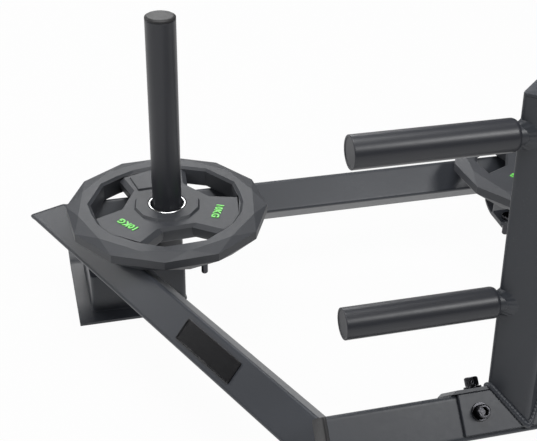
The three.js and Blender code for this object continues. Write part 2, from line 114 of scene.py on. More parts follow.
def finish_of(name, base, spread, rough, rough_spread, grain, grain_depth, lumps, lumps_depth,
              metal=0.0, specular=0.5, coat=0.0, wear=None, wear_amount=0.0):
    """A finish with a fine grain and a coarse unevenness, sizes and depths in millimetres.

    Colour drifts from base to spread with a slow cloud, roughness with the lumps, and the bump is the
    grain on top of the lumps. Where wear is given, that colour shows in small rubs where the cloud and
    a fine speckle are both high.
    """
    cloud_scale, speckle_scale = 9.0, 420.0  # features of about 110 mm and 2.4 mm
    material = bpy.data.materials.new(name)
    material.use_nodes = True
    tree = material.node_tree
    tree.nodes.clear()
    place = node(tree, "ShaderNodeTexCoord").outputs["Object"]
    fine = node(tree, "ShaderNodeTexNoise", {"Scale": 1000 / grain, "Detail": 3.0}, Vector=place)
    coarse = node(tree, "ShaderNodeTexNoise", {"Scale": 1000 / lumps, "Detail": 2.0}, Vector=place)
    cloud = node(tree, "ShaderNodeTexNoise", {"Scale": cloud_scale, "Detail": 4.0}, Vector=place)
    tint = node(tree, "ShaderNodeMix", {"data_type": "RGBA"}, _0=cloud.outputs["Fac"])
    tint.inputs[6].default_value = colour(base)
    tint.inputs[7].default_value = colour(spread)
    shade = tint.outputs[2]
    if wear:
        speckle = node(tree, "ShaderNodeTexNoise", {"Scale": speckle_scale, "Detail": 5.0}, Vector=place)
        both = node(tree, "ShaderNodeMath", {"operation": "MULTIPLY"},
                    _0=cloud.outputs["Fac"], _1=speckle.outputs["Fac"])
        rub = node(tree, "ShaderNodeMapRange", {"From Min": 0.36, "From Max": 0.46, "To Max": wear_amount},
                   Value=both.outputs[0])
        rubbed = node(tree, "ShaderNodeMix", {"data_type": "RGBA"}, _0=rub.outputs[0], _6=shade)
        rubbed.inputs[7].default_value = colour(wear)
        shade = rubbed.outputs[2]
    roughness = node(tree, "ShaderNodeMapRange", {"To Min": rough - rough_spread, "To Max": rough + rough_spread},
                     Value=coarse.outputs["Fac"])
    below = node(tree, "ShaderNodeBump", {"Strength": 1.0, "Distance": lumps_depth * mm},
                 Height=coarse.outputs["Fac"])
    above = node(tree, "ShaderNodeBump", {"Strength": 1.0, "Distance": grain_depth * mm},
                 Height=fine.outputs["Fac"], Normal=below.outputs[0])
    shader = node(tree, "ShaderNodeBsdfPrincipled", {"Metallic": metal},
                  Base_Color=shade, Roughness=roughness.outputs[0], Normal=above.outputs[0])
    if not metal:
        shader.inputs["IOR"].default_value = 1.5
        shader.inputs["Specular IOR Level"].default_value = specular
    if coat:
        shader.inputs["Coat Weight"].default_value = coat
        shader.inputs["Coat Roughness"].default_value = 0.12
    out = node(tree, "ShaderNodeOutputMaterial")
    tree.links.new(shader.outputs[0], out.inputs["Surface"])
    return material


# Polyester powder baked on steel: a satin dark grey whose fine orange peel breaks up the highlights
powder_coat = finish_of("satin_powder_coat_on_steel", "#3a3d43", "#404349", 0.40, 0.05,
                        grain=1.1, grain_depth=0.010, lumps=7.0, lumps_depth=0.045,
                        wear="#55565a", wear_amount=0.25)
# The same powder where hands and discs polish it: smoother, with a clean band of light along the tube
grip_coat = finish_of("hand_worn_powder_coat", "#2f3036", "#34363b", 0.37, 0.03,
                      grain=0.8, grain_depth=0.004, lumps=9.0, lumps_depth=0.008)
# Compression moulded rubber over iron: dull and dry, a leathery grain, paler where edges have rubbed
moulded_rubber = finish_of("compression_moulded_rubber", "#3b3d41", "#43454a", 0.50, 0.05,
                           grain=0.9, grain_depth=0.03, lumps=9.0, lumps_depth=0.10,
                           wear="#6a6a6d", wear_amount=0.35)
# Enamel paint filled over the raised marks: a clear green against the dark rubber
filled_enamel = finish_of("green_enamel_fill", "#6fdc5a", "#7ee56a", 0.38, 0.05,
                          grain=0.6, grain_depth=0.01, lumps=4.0, lumps_depth=0.02)
# Injection moulded polyethylene for plugs and caps: blacker and duller than the coat round it
moulded_plastic = finish_of("injection_moulded_polyethylene", "#1d1d1f", "#232325", 0.52, 0.06,
                            grain=0.5, grain_depth=0.012, lumps=5.0, lumps_depth=0.02)
# Black oxide on forged steel: dark metal with an oily sheen on its edges
black_oxide = finish_of("black_oxide_on_forged_steel", "#3e3e41", "#48484b", 0.24, 0.05,
                        grain=0.4, grain_depth=0.006, lumps=3.0, lumps_depth=0.01, metal=1.0)
# Printed and lacquered aluminium sheet: the darkest and flattest surface, with a thin gloss
lacquered_sheet = finish_of("lacquered_aluminium_sheet", "#1a1a1c", "#1f1f21", 0.24, 0.04,
                            grain=0.3, grain_depth=0.002, lumps=8.0, lumps_depth=0.01, coat=0.3)
# Weld run under the powder: the same coat, its colour painted a shade lighter than the coat's as a painted
# highlight on the bead, and a little shinier on its ripples
weld_coat_painted_lighter = finish_of("powder_coated_weld_painted_lighter", "#3c3f45", "#42454b", 0.38, 0.05,
                        grain=0.9, grain_depth=0.012, lumps=5.0, lumps_depth=0.03)
# Steel turned on a lathe and left bright: the one white ring in the middle of each plate
turned_steel = finish_of("turned_bright_steel", "#d9dadb", "#e6e7e8", 0.22, 0.05,
                         grain=0.35, grain_depth=0.004, lumps=2.0, lumps_depth=0.006, metal=1.0)


# ---------------------------------------------------------------- surfaces

def unit(v):
    """Vectors of length 1 in the same directions."""
    v = np.asarray(v, float)
    return v / np.linalg.norm(v, axis=-1, keepdims=True)


def soften(points, reach, steps=5, closed=True, hold=1.25):
    """A line with rounded corners.

    Each corner p gives way to (1-t)^2 a + 2t(1-t) p + t^2 b, where a and b lie on its two sides at the
    distance reach. One more point on each side, hold times as far away, keeps the flats flat.
    """
    p = np.asarray(points, float)
    before = np.roll(p, 1, 0) - p
    after = np.roll(p, -1, 0) - p
    lengths = np.stack([np.linalg.norm(before, axis=1), np.linalg.norm(after, axis=1)], 1)
    cut = np.minimum(np.broadcast_to(reach, len(p)), 0.49 / hold * lengths.min(1))[:, None]
    a = p + unit(before) * cut
    b = p + unit(after) * cut
    t = np.linspace(0, 1, steps + 1)[None, :, None]
    curve = (1 - t) ** 2 * a[:, None] + 2 * t * (1 - t) * p[:, None] + t ** 2 * b[:, None]
    ends = (p + unit(before) * cut * hold)[:, None], (p + unit(after) * cut * hold)[:, None]
    curve = np.concatenate([ends[0], curve, ends[1]], 1)
    if closed:
        return curve.reshape(-1, p.shape[1])
    return np.vstack([p[:1], curve[1:-1].reshape(-1, p.shape[1]), p[-1:]])


def quads(rows, columns, start, wrap_rows, wrap_columns):
    """The four corner numbers of each cell of a grid of points."""
    r, c = np.meshgrid(np.arange(rows - (not wrap_rows)), np.arange(columns - (not wrap_columns)), indexing="ij")
    down, across = (r + 1) % rows, (c + 1) % columns
    cells = np.stack([r * columns + c, r * columns + across, down * columns + across, down * columns + c], -1)
    return start + cells.reshape(-1, 4)


def piece(name, grids, material, body="sled", slot=None, replaces=(), bevel=0.0, sharp=28):
    """One closed mesh from grids of points, each (points, wrap_rows, wrap_columns).

    Points that coincide are merged, faces that shrink to nothing go, and the rest face outwards.
    """
    points, faces, start = [], [], 0
    for grid, wrap_rows, wrap_columns in grids:
        rows, columns = grid.shape[:2]
        points.append(grid.reshape(-1, 3))
        faces.append(quads(rows, columns, start, wrap_rows, wrap_columns))
        start += rows * columns
    points = np.vstack(points) + [0, peg_line, 0]
    mesh = bpy.data.meshes.new(name)
    mesh.from_pydata(points.tolist(), [], np.vstack(faces).tolist())
    work = bmesh.new()
    work.from_mesh(mesh)
    bmesh.ops.remove_doubles(work, verts=work.verts, dist=2e-6)
    bmesh.ops.dissolve_degenerate(work, edges=work.edges, dist=1e-6)
    bmesh.ops.recalc_face_normals(work, faces=work.faces)
    work.to_mesh(mesh)
    work.free()
    mesh.shade_smooth()
    mesh.set_sharp_from_angle(angle=math.radians(sharp))
    made = bpy.data.objects.new(name, mesh)
    bpy.context.scene.collection.objects.link(made)
    mesh.materials.append(material)
    if bevel:
        soft = made.modifiers.new("edge", "BEVEL")
        soft.width = bevel
        soft.segments = 3
        soft.limit_method = "ANGLE"
        soft.angle_limit = math.radians(14)
        soft.harden_normals = True
    if replaces:
        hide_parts(*replaces)
    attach(made, body)
    return made


def closed_ends(rows):
    """Rows of a shell with one more row at each end, all at that end's middle, so its ends are shut."""
    first = np.broadcast_to(rows[0].mean(0), rows[0].shape)[None]
    last = np.broadcast_to(rows[-1].mean(0), rows[-1].shape)[None]
    return np.concatenate([first, rows, last])


def basis(axis, near=up):
    """Two directions square to an axis and to each other."""
    axis = unit(axis)
    side = np.cross(near, axis)
    if np.linalg.norm(side) < 1e-6:
        side = np.cross(right, axis)
    side = unit(side)
    return side, np.cross(axis, side)


def turned(profile, origin, axis=up, count=64):
    """A lathe shape: point = origin + axis * h + r * (side cos a + rise sin a) for each (r, h)."""
    side, rise = basis(axis)
    profile = np.asarray(profile, float)
    a = np.linspace(0, 2 * math.pi, count, endpoint=False)[None, :, None]
    r, h = profile[:, 0, None, None], profile[:, 1, None, None]
    return np.asarray(origin) + unit(axis) * h + r * (side * np.cos(a) + rise * np.sin(a))


def square_on_edge(side, corner, steps=8):
    """A square standing on one corner, its corners rounded, as (across, rise) pairs."""
    reach = side / math.sqrt(2)
    return soften([[reach, 0], [0, reach], [-reach, 0], [0, -reach]], corner, steps)


def carried(outline, start, end, start_plane=None, end_plane=None, across=None):
    """An outline carried along a straight line, each end cut on its own plane.

    point = end point + across * u + rise * v, slid along the line by -(offset . plane) / (line . plane).
    """
    along = unit(np.asarray(end) - start)
    across = basis(along)[0] if across is None else across
    rise = np.cross(along, across)
    offset = outline[:, :1] * across + outline[:, 1:] * rise
    rows = []
    for point, plane in ((start, start_plane), (end, end_plane)):
        plane = along if plane is None else plane
        slide = -(offset @ plane) / (along @ plane)
        rows.append(point + offset + slide[:, None] * along)
    return np.array(rows)


def weld_run(name, path, radius, ripple=3.2 * mm):
    """A weld run: a round bead carried along a closed path, its radius swelling 5% with each ripple,
    as 1 + 0.05 sin(2 pi s / ripple)."""
    bead_step = 0.8 * mm
    path = np.vstack([path, path[:1]])
    steps = np.linalg.norm(np.diff(path, axis=0), axis=1)
    travel = np.concatenate([[0], np.cumsum(steps)])
    s = np.linspace(0, travel[-1], int(travel[-1] / bead_step), endpoint=False)
    line = np.stack([np.interp(s, travel, path[:, k]) for k in range(3)], 1)
    along = unit(np.roll(line, -1, 0) - np.roll(line, 1, 0))
    side = unit(np.cross(along, up + 0.01 * right))
    rise = np.cross(side, along)
    swell = radius * (1 + 0.05 * np.sin(2 * math.pi * s / ripple))
    a = np.linspace(0, 2 * math.pi, 12, endpoint=False)
    ring = side[:, None] * np.cos(a)[None, :, None] + rise[:, None] * np.sin(a)[None, :, None]
    rows = line[:, None] + ring * swell[:, None, None]
    piece(name, [(rows, True, True)], weld_coat_painted_lighter, slot="black_powder_coat", sharp=180)


def weld_runs(name, path, radius, **how):
    """A weld run on the left and its mirror image on the right."""
    for side, line in (("left", path), ("right", path * [-1, 1, 1])):
        weld_run(f"{name}_{side}", line, radius, **how)


def mirror(grids):
    """The same grids on the other side of the sled's middle plane."""
    return [(grid * [-1, 1, 1], wrap_rows, wrap_columns) for grid, wrap_rows, wrap_columns in grids]


def both_sides(name, grids, material, replaces="", **how):
    """A piece and its mirror image, each standing for the frame's node of its side."""
    for side, shapes in (("left", grids), ("right", mirror(grids))):
        stands_for = [f"{one}_{side}" for one in replaces.split()]
        piece(f"{name}_{side}", shapes, material, replaces=stands_for, **how)


# ---------------------------------------------------------------- base frame

tube_outline = square_on_edge(tube_side, tube_corner)


def rail_point(y):
    """The point of the left rail's axis at that y."""
    return np.array([-peg_x + (-rail_from_peg - rail_inward[1] * y) / rail_inward[0], y, axis_height])


corner = rail_point(beam_y)
mitre = unit(right - rail_along)
mitre_right = mitre * [-1, 1, 1]
beam_end = corner * [-1, 1, 1]
beam = carried(tube_outline, corner, beam_end, mitre, mitre_right)
piece("beam_tube", [(closed_ends(beam), False, True)], powder_coat,
      slot="black_powder_coat", replaces=["front_beam"])
rail_tail = rail_point(-rail_end)
rail = carried(tube_outline, corner, rail_tail, mitre)
both_sides("rail_tube", [(closed_ends(rail), False, True)], powder_coat, "side_rail", slot="black_powder_coat")

# The tube's outline laid on the mitre plane at the corner, drawn in by 1.1 mm
seam_scale = 1 - 1.1 * mm / half_diagonal
seam = carried(tube_outline * seam_scale, corner, beam_end, mitre, mitre_right)[0]
weld_runs("corner_weld", seam, 1.5 * mm)


def end_plug(tail, along):
    """A plug's face: the tube's outline, stepping in to a rounded lip over its last 5 mm."""
    steps = ((gap, 0.93), (gap, 0.985), (3.2 * mm, 0.985), (4.6 * mm, 0.955), (5.2 * mm, 0.90))
    rows = [carried(tube_outline * scale, tail + along * out, tail + along)[0] for out, scale in steps]
    return closed_ends(np.array(rows))


both_sides("rail_end_plug", [(end_plug(rail_tail, rail_along), False, True)], moulded_plastic,
           "rail_plug", slot="black_plastic")


def rounded_rectangle(half_x, half_y, radius, steps=6):
    """A rectangle's outline about its middle, its corners rounded."""
    return soften([[half_x, half_y], [-half_x, half_y], [-half_x, -half_y], [half_x, -half_y]], radius, steps)


def plaque(centre, along, across, half_length, half_width, thick, rim, sunk, radius):
    """A thin sheet with a raised rim: rounded rectangles, one inside the next, at stepped heights."""
    out = unit(np.cross(along, across))
    edge, bevel = 0.4 * mm, 0.9 * mm
    rows = []
    for inset, height in ((0, 0), (0, thick - edge), (edge, thick), (rim, thick),
                          (rim + bevel, thick - sunk), (half_width * 0.6, thick - sunk)):
        line = rounded_rectangle(half_length - inset, half_width - inset, max(radius - inset, 0.4 * mm))
        rows.append(centre + line[:, :1] * along + line[:, 1:] * across + out * height)
    return closed_ends(np.array(rows))


badge_down_rail = 311 * mm
outer_slope = unit(up - rail_inward)
badge_middle = (np.array([-peg_x, 0, axis_height]) - rail_inward * rail_from_peg + rail_along * badge_down_rail
                + outer_slope * (tube_side / 2 + gap))
badge = plaque(badge_middle, rail_along, np.cross(outer_slope, rail_along), half_length=67 * mm,
               half_width=18.5 * mm, thick=2 * mm, rim=1.4 * mm, sunk=1.3 * mm, radius=3 * mm)
both_sides("rail_badge", [(badge, False, True)], lacquered_sheet, "name_plate", slot="name_plate")

# ---------------------------------------------------------------- crossbar and mast foot

crossbar_left = np.array([-crossbar_half, crossbar_y, crossbar_axis])
crossbar = carried(tube_outline, crossbar_left, crossbar_left * [-1, 1, 1])
piece("crossbar_tube", [(closed_ends(crossbar), False, True)], powder_coat,
      slot="black_powder_coat", replaces=["crossbar"])
both_sides("crossbar_end_plug", [(end_plug(crossbar_left, -right), False, True)], moulded_plastic,
           "crossbar_plug", slot="black_plastic")


def down_slope(slope):
    """The direction straight down an upper face of the crossbar."""
    return unit([0, slope[1], -slope[2]])


def face_point(x, slope, down=0.0):
    """A point on an upper face of the crossbar: x along it, down the slope from the face's middle."""
    return np.array([x, crossbar_y, crossbar_axis]) + slope * tube_side / 2 + down_slope(slope) * down


plate_thick = 5 * mm
foot_drop = 54 * mm


def foot_plate(slope, lap, profile):
    """A bent plate's leaf: its outline in x and thickness, carried down the slope."""
    down = down_slope(slope)
    start = face_point(0, slope, -tube_side / 2 - lap) + slope * gap
    x, height = np.asarray(profile).T[:, :, None]
    rows = np.array([start + d * down + x * right + height * slope for d in (0, foot_drop + lap)])
    return closed_ends(rows)


near_half = 86 * mm
near_leaf = foot_plate(near_slope, -gap, [
    [-near_half, 0], [near_half, 0], [near_half, plate_thick], [-near_half, plate_thick]])
piece("near_foot_leaf", [(near_leaf, False, True)], powder_coat, slot="black_powder_coat",
      replaces=["mast_foot_plate_near"], bevel=1.2 * mm)
far_half, far_edge = 92 * mm, 1 * mm
far_top = far_half - 6 * mm
far_leaf = foot_plate(far_slope, plate_thick + gap, [
    [-far_half, 0], [far_half, 0], [far_half, far_edge],
    [far_top, plate_thick], [-far_top, plate_thick], [-far_half, far_edge]])
piece("far_foot_leaf", [(far_leaf, False, True)], powder_coat, slot="black_powder_coat",
      replaces=["mast_foot_plate_far"], bevel=1.2 * mm)

mast_foot = np.array([0, crossbar_y, crossbar_axis])


def mast_point(height):
    """The point of the mast's axis at that height."""
    return mast_foot + mast_axis * (height - crossbar_axis) / mast_axis[2]


mast_top = mast_point(mast_height)


def mast_rows():
    """The mast's outline at its foot, where each line along it meets the two leaves' tops, and at its top."""
    rise = np.cross(mast_axis, right)
    offset = tube_outline[:, :1] * right + tube_outline[:, 1:] * rise
    at_foot = []
    for slope in (near_slope, far_slope):
        height = tube_side / 2 + plate_thick + gap
        at_foot.append((height - offset @ slope) / (mast_axis @ slope))
    slide = np.minimum(*at_foot)[:, None]
    return mast_foot + offset + slide * mast_axis, mast_top + offset


foot_line, top_line = mast_rows()
into_weld = foot_line - mast_axis * 1.5 * mm
piece("mast_tube", [(closed_ends(np.array([into_weld, top_line])), False, True)], powder_coat,
      slot="black_powder_coat", replaces=["mast"])
# The bead's middle runs 3% outside the mast's foot, so that half of it shows
outside_foot = foot_line + (foot_line - foot_line.mean(0)) * [0.03, 0.03, 0]
weld_run("mast_foot_weld", outside_foot, 4.4 * mm, ripple=5 * mm)

cap_steps = ((0.1 * mm, 0.97), (0.4 * mm, 1.0), (3.0 * mm, 1.0), (3.9 * mm, 0.985), (4.3 * mm, 0.95))
cap_rows = [carried(square_on_edge(tube_side * scale, tube_corner), mast_top + mast_axis * rise,
                    mast_top + mast_axis, across=right)[0] for rise, scale in cap_steps]
piece("mast_end_cap", [(closed_ends(np.array(cap_rows)), False, True)], powder_coat,
      slot="black_powder_coat", replaces=["mast_cap"])


def hexagon(across, count):
    """A hexagon's distance from its middle at evenly spread angles: half its width over cos of the angle
    from the nearest flat's middle."""
    a = np.linspace(0, 2 * math.pi, count, endpoint=False)
    return across / 2 / np.cos((a + math.pi / 6) % (math.pi / 3) - math.pi / 6)


def socket_screw(seat, axis, head=18 * mm, tall=12 * mm, socket=10 * mm, count=72):
    """A cap screw: rings of radius and height, the head's side knurled as 1 + 0.018 cos 36a, its
    socket a hexagon sunk 6 mm."""
    side, rise = basis(axis, right)
    a = np.linspace(0, 2 * math.pi, count, endpoint=False)
    r, shank, long = head / 2, 6 * mm, 20 * mm
    knurl = r * (1 + 0.018 * np.cos(36 * a))
    plain = np.ones(count)
    hexagonal = hexagon(socket, count)
    rings = [(shank * plain, -long), (shank * plain, 0), ((r - 0.5 * mm) * plain, 0), (r * plain, 0.6 * mm),
             (knurl, 1.4 * mm), (knurl, tall - 2.2 * mm), (r * plain, tall - 1.6 * mm),
             ((r - 0.3 * mm) * plain, tall - 0.9 * mm), ((r - 1.5 * mm) * plain, tall),
             (hexagonal + 0.7 * mm, tall), (hexagonal, tall - 0.7 * mm), (hexagonal, tall - 6 * mm)]
    radius = np.array([ring for ring, _ in rings])[:, :, None]
    height = np.array([h for _, h in rings])[:, None, None]
    around = side * np.cos(a)[None, :, None] + rise * np.sin(a)[None, :, None]
    return closed_ends(seat + unit(axis) * height + radius * around)


washer_thick, washer_hole, washer_radius = 2.5 * mm, 6.5 * mm, 12 * mm
for face, slope, x, down in (("near", near_slope, 60.5 * mm, -4 * mm), ("far", far_slope, 50 * mm, 0)):
    top = face_point(-x, slope, down) + slope * (gap + plate_thick + gap)
    seat = top + slope * (washer_thick + gap)
    ring = soften([[washer_hole, 0], [washer_radius, 0], [washer_radius, washer_thick],
                   [washer_hole, washer_thick]], 0.5 * mm, 3)
    both_sides(f"washer_{face}", [(turned(ring, top, slope), True, True)], black_oxide,
               f"foot_washer_{face}", slot="black_steel")
    both_sides(f"cap_screw_{face}", [(socket_screw(seat, slope), False, True)], black_oxide,
               f"foot_screw_{face}", slot="black_steel")

# ---------------------------------------------------------------- handles

grip_radius, neck_radius = 20 * mm, 13.8 * mm
grip_from, grip_to = 45 * mm, 244 * mm
low_handle, high_handle = mast_height - 272 * mm, mast_height - 47 * mm


def neck_fillet(centre, leg=6.5 * mm):
    """The weld round a neck: at angle a its hollow face runs from leg up the neck to leg out on the mast,
    r = neck + leg t and rise = leg (1 - t)^1.5, where the leg ripples as 1 + 0.06 cos 17a + 0.05 cos (3a + 1).
    At a distance of y mm across the mast its rounded corner lies at half_diagonal - sqrt(y^2 + 2.5^2) mm."""
    a = np.linspace(0, 2 * math.pi, 136, endpoint=False)
    t = np.linspace(0, 1, 9)[:, None]
    legs = leg * (1 + 0.06 * np.cos(17 * a) + 0.05 * np.cos(3 * a + 1))
    inner, under = neck_radius - 1 * mm + 0 * a, -2 * mm + 0 * a
    radius = np.vstack([inner, neck_radius + legs * t, neck_radius + legs, inner])
    rise = np.vstack([legs, legs * (1 - t) ** 1.5, under, under])
    offset = radius[..., None] * np.stack([0 * a, np.cos(a), np.sin(a)], 1)
    y = offset @ unit(np.cross(mast_axis, right))
    reach = half_diagonal - np.sqrt(y ** 2 + (2.5 * mm) ** 2) + rise
    return centre + offset - reach[..., None] * right


for level, height in (("low", low_handle), ("high", high_handle)):
    centre = mast_point(height)
    neck = turned([[0, 20 * mm], [neck_radius, 20 * mm], [neck_radius, 60 * mm], [0, 60 * mm]], centre, -right)
    both_sides(f"neck_{level}", [(neck, False, True)], powder_coat, f"handle_bar_{level}", slot="black_powder_coat")
    plug_face = grip_to - 0.8 * mm
    sleeve = soften([[neck_radius, grip_from], [grip_radius - 2 * mm, grip_from], [grip_radius, grip_from + 4 * mm],
                     [grip_radius, grip_to], [grip_radius - 3 * mm, grip_to], [grip_radius - 3.2 * mm, plug_face],
                     [0, plug_face]], np.array([1, 4, 4, 1.2, 0.5, 0.3, 1]) * mm, closed=False)
    sleeve = np.vstack([[0, grip_from], sleeve])
    both_sides(f"grip_{level}", [(turned(sleeve, centre, -right, 96), False, True)], grip_coat,
               f"handle_grip_{level} handle_plug_{level}", slot="black_powder_coat")
    both_sides(f"neck_weld_{level}", [(neck_fillet(centre), True, True)], weld_coat_painted_lighter, slot="black_powder_coat")

# ---------------------------------------------------------------- feet

skid_thick = 6 * mm


def foot_box(x0, x1, y0, y1, radius):
    """An upright box of bent sheet: a rounded rectangle carried up, its top edge rolled over, and the
    line of the weld round its foot."""
    middle = np.array([(x0 + x1) / 2, (y0 + y1) / 2, 0])

    def outline(inset, z):
        line = rounded_rectangle((x1 - x0) / 2 - inset, (y1 - y0) / 2 - inset, radius)
        return middle + np.column_stack([line, np.full(len(line), z)])

    rows = [outline(0, skid_thick + gap), outline(0, foot_top - 2 * mm),
            outline(0.6 * mm, foot_top - 0.6 * mm), outline(2 * mm, foot_top)]
    return closed_ends(np.array(rows)), outline(0, skid_thick + 0.6 * mm)


def skid(x0, x1, y0, y1, heel):
    """A bent sheet: height rises 15 mm as the square of the way along its last 38 mm, at the toe and,
    where asked, at the heel; the sheet's outline is carried along that line."""
    toe_run, toe_rise = 38 * mm, 15 * mm
    y = np.unique(np.concatenate([np.linspace(y0, y0 + toe_run, 9), np.linspace(y1 - toe_run, y1, 13)]))
    toe = np.clip((y - y1 + toe_run) / toe_run, 0, 1)
    back = np.clip((y0 + toe_run - y) / toe_run, 0, 1) * heel
    z = toe_rise * (toe ** 2 + back ** 2)
    x = np.array([x0, x1, x1, x0])
    lift = np.array([0, 0, skid_thick, skid_thick])
    rows = np.stack([np.broadcast_to(x, (len(y), 4)), np.broadcast_to(y[:, None], (len(y), 4)),
                     z[:, None] + lift], 2)
    return closed_ends(rows)


foot_corner = 9 * mm
foot_inner = -peg_x + 25.3 * mm
box_shell, box_weld = foot_box(foot_inner - 169 * mm, foot_inner, -26 * mm, 132 * mm, foot_corner)
both_sides("front_foot_box", [(box_shell, False, True)], powder_coat, "front_foot", slot="black_powder_coat")
front_skid = skid(-peg_x - 169 * mm, -peg_x + 24 * mm, -53 * mm, 168 * mm, 0)
both_sides("front_skid_sheet", [(front_skid, False, True)], powder_coat, "front_skid",
           slot="black_powder_coat", bevel=0.9 * mm)
rear_x, rear_y = rail_point(-640 * mm)[:2]
rear_shell, rear_weld = foot_box(rear_x - 46 * mm, rear_x + 46 * mm, rear_y - 60 * mm, rear_y + 60 * mm,
                                 foot_corner)
both_sides("rear_foot_box", [(rear_shell, False, True)], powder_coat, "rear_foot", slot="black_powder_coat")
rear_skid = skid(rear_x - 65 * mm, rear_x + 65 * mm, rear_y - 100 * mm, rear_y + 100 * mm, 1)
both_sides("rear_skid_sheet", [(rear_skid, False, True)], powder_coat, "rear_skid",
           slot="black_powder_coat", bevel=0.9 * mm)
weld_runs("front_foot_weld", box_weld, 1.9 * mm)
weld_runs("rear_foot_weld", rear_weld, 1.9 * mm)

# ---------------------------------------------------------------- weight pegs, lugs and pins

peg_radius = 25 * mm
peg_foot = np.array([-peg_x, 0, 0])
peg = soften([[0, foot_top], [peg_radius, foot_top], [peg_radius, peg_top], [peg_radius - 3 * mm, peg_top],
              [0, peg_top]], np.array([1, 0.5, 0.8, 0.5, 1]) * mm, closed=False)
both_sides("peg_tube", [(turned(peg, peg_foot, up, 96), False, True)], grip_coat,
           "weight_peg", slot="black_powder_coat")
cap_top = peg_top + 5.2 * mm
cap = soften([[0, peg_top + gap], [peg_radius, peg_top + gap], [peg_radius, peg_top + 3 * mm],
              [peg_radius - 4 * mm, cap_top], [0, cap_top]], np.array([1, 0.6, 2.4, 3, 1]) * mm, closed=False)
both_sides("peg_top_cap", [(turned(cap, peg_foot, up, 96), False, True)], moulded_plastic,
           "peg_cap", slot="black_plastic")
a = np.linspace(0, 2 * math.pi, 80, endpoint=False)
circle = (peg_radius + 0.8 * mm) * np.column_stack([np.cos(a), np.sin(a), 0 * a])
weld_runs("peg_weld", peg_foot + circle + up * (foot_top + 1.0 * mm), 2.6 * mm)

lug_low, lug_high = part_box("strap_lug_left")
lug_half = (lug_high - lug_low) / 2
lug_middle = np.array([*(lug_low + lug_half)[:2], 0]) - [0, peg_line, 0]
lug_edge = 0.8 * mm
lug_rows = []
for inset, z in ((lug_edge, lug_low.z), (0, lug_low.z + lug_edge),
                 (0, lug_high.z - lug_edge), (lug_edge, lug_high.z)):
    line = rounded_rectangle(lug_half.x - inset, lug_half.y - inset, 6 * mm)
    lug_rows.append(lug_middle + np.column_stack([line, np.full(len(line), z)]))
both_sides("lug_plate", [(closed_ends(np.array(lug_rows)), False, True)], powder_coat,
           "strap_lug", slot="black_powder_coat")

pin_low, pin_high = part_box("strap_pin_left")
pin_radius, pin_head = 6 * mm, 11 * mm
pin_line = np.array([(pin_low.x + pin_high.x) / 2, (pin_low.y + pin_high.y) / 2 - peg_line, 0])
seat = lug_high.z + gap
pin = soften([[0, pin_low.z], [4.6 * mm, pin_low.z], [pin_radius, pin_low.z + 2 * mm], [pin_radius, seat],
              [pin_head, seat], [pin_head, pin_high.z], [0, pin_high.z]],
             np.array([1, 0.8, 1, 0.6, 1.0, 1.6, 1]) * mm, closed=False)
for side, sign in (("left", 1), ("right", -1)):
    piece(f"drop_pin_{side}", [(turned(pin, pin_line * [sign, 1, 1], up, 48), False, True)], black_oxide,
          body=f"pin_{side}", slot="black_steel", replaces=[f"strap_pin_{side}"])

# ---------------------------------------------------------------- weight plates

plate_thickness = 37 * mm
web_top, web_bottom = 33 * mm, 4 * mm
wall_top, wall_bottom = 31 * mm, 16.5 * mm
first_window = 34.0
window_radii = np.array([126.6, 132.2, 132.2, 126.6, 77, 77]) * mm
window_angles = np.array([-35, -15, 15, 35, 25, -25])
window_draft = np.array([0.12, 0.12, 0.12, 1.0, 0.5, 1.0])
window_steps = [3, 2, 3, 2, 16, 2]
spoke_middle = 100 * mm
boss_radius, boss_edge, bush_radius = 58 * mm, 3 * mm, 33.8 * mm
rim_crest, wall_radius = 154 * mm, 173.9 * mm
rim_slope = 4.5 * mm


def polar(radius, degrees, z):
    """Points from their distance to the axis, their angle and their height."""
    a = np.radians(degrees)
    return np.stack([radius * np.cos(a), radius * np.sin(a), np.broadcast_to(z, np.shape(a))], -1)


def inset_polygon(corners, distance):
    """Each side moved in by its own distance. With n1, n2 the inward directions of the two sides at a
    corner p, d1, d2 their distances and c = n1 . n2, the new corner is
    p + ((d1 - c d2) n1 + (d2 - c d1) n2) / (1 - c^2)."""
    along = unit(np.roll(corners, -1, 0) - corners)
    after = np.stack([-along[:, 1], along[:, 0]], 1)
    before = np.roll(after, 1, 0)
    d2 = np.broadcast_to(distance, len(corners))[:, None]
    d1 = np.roll(d2, 1, 0)
    c = (after * before).sum(1, keepdims=True)
    return corners + ((d1 - c * d2) * before + (d2 - c * d1) * after) / (1 - c ** 2)


def resample(corners, counts):
    """Points along a closed line of corners: counts[i] equal steps on the side that starts at corner i."""
    following = np.roll(corners, -1, 0)
    return np.concatenate([p + (q - p) * np.arange(n)[:, None] / n for p, q, n in zip(corners, following, counts)])


def polygon_radius(radius, degrees):
    """Distance to a twelve-sided polygon's side, its corners at the window's turn plus every 30 degrees."""
    part = np.radians((degrees - first_window) % 30 - 15)
    return radius * math.cos(math.radians(15)) / np.cos(part)


def rim_radius(degrees):
    """The rim's inner edge at every 15 degrees from a window's middle: straight over the window, with
    corners at 15 degrees, and 132 mm from the axis over the spoke."""
    radii = np.array([137 * math.cos(math.radians(15)), 137, 131.6, 132, 132, 132, 131.6, 137]) * mm
    return radii[np.round((degrees - first_window) / 15).astype(int) % 8]


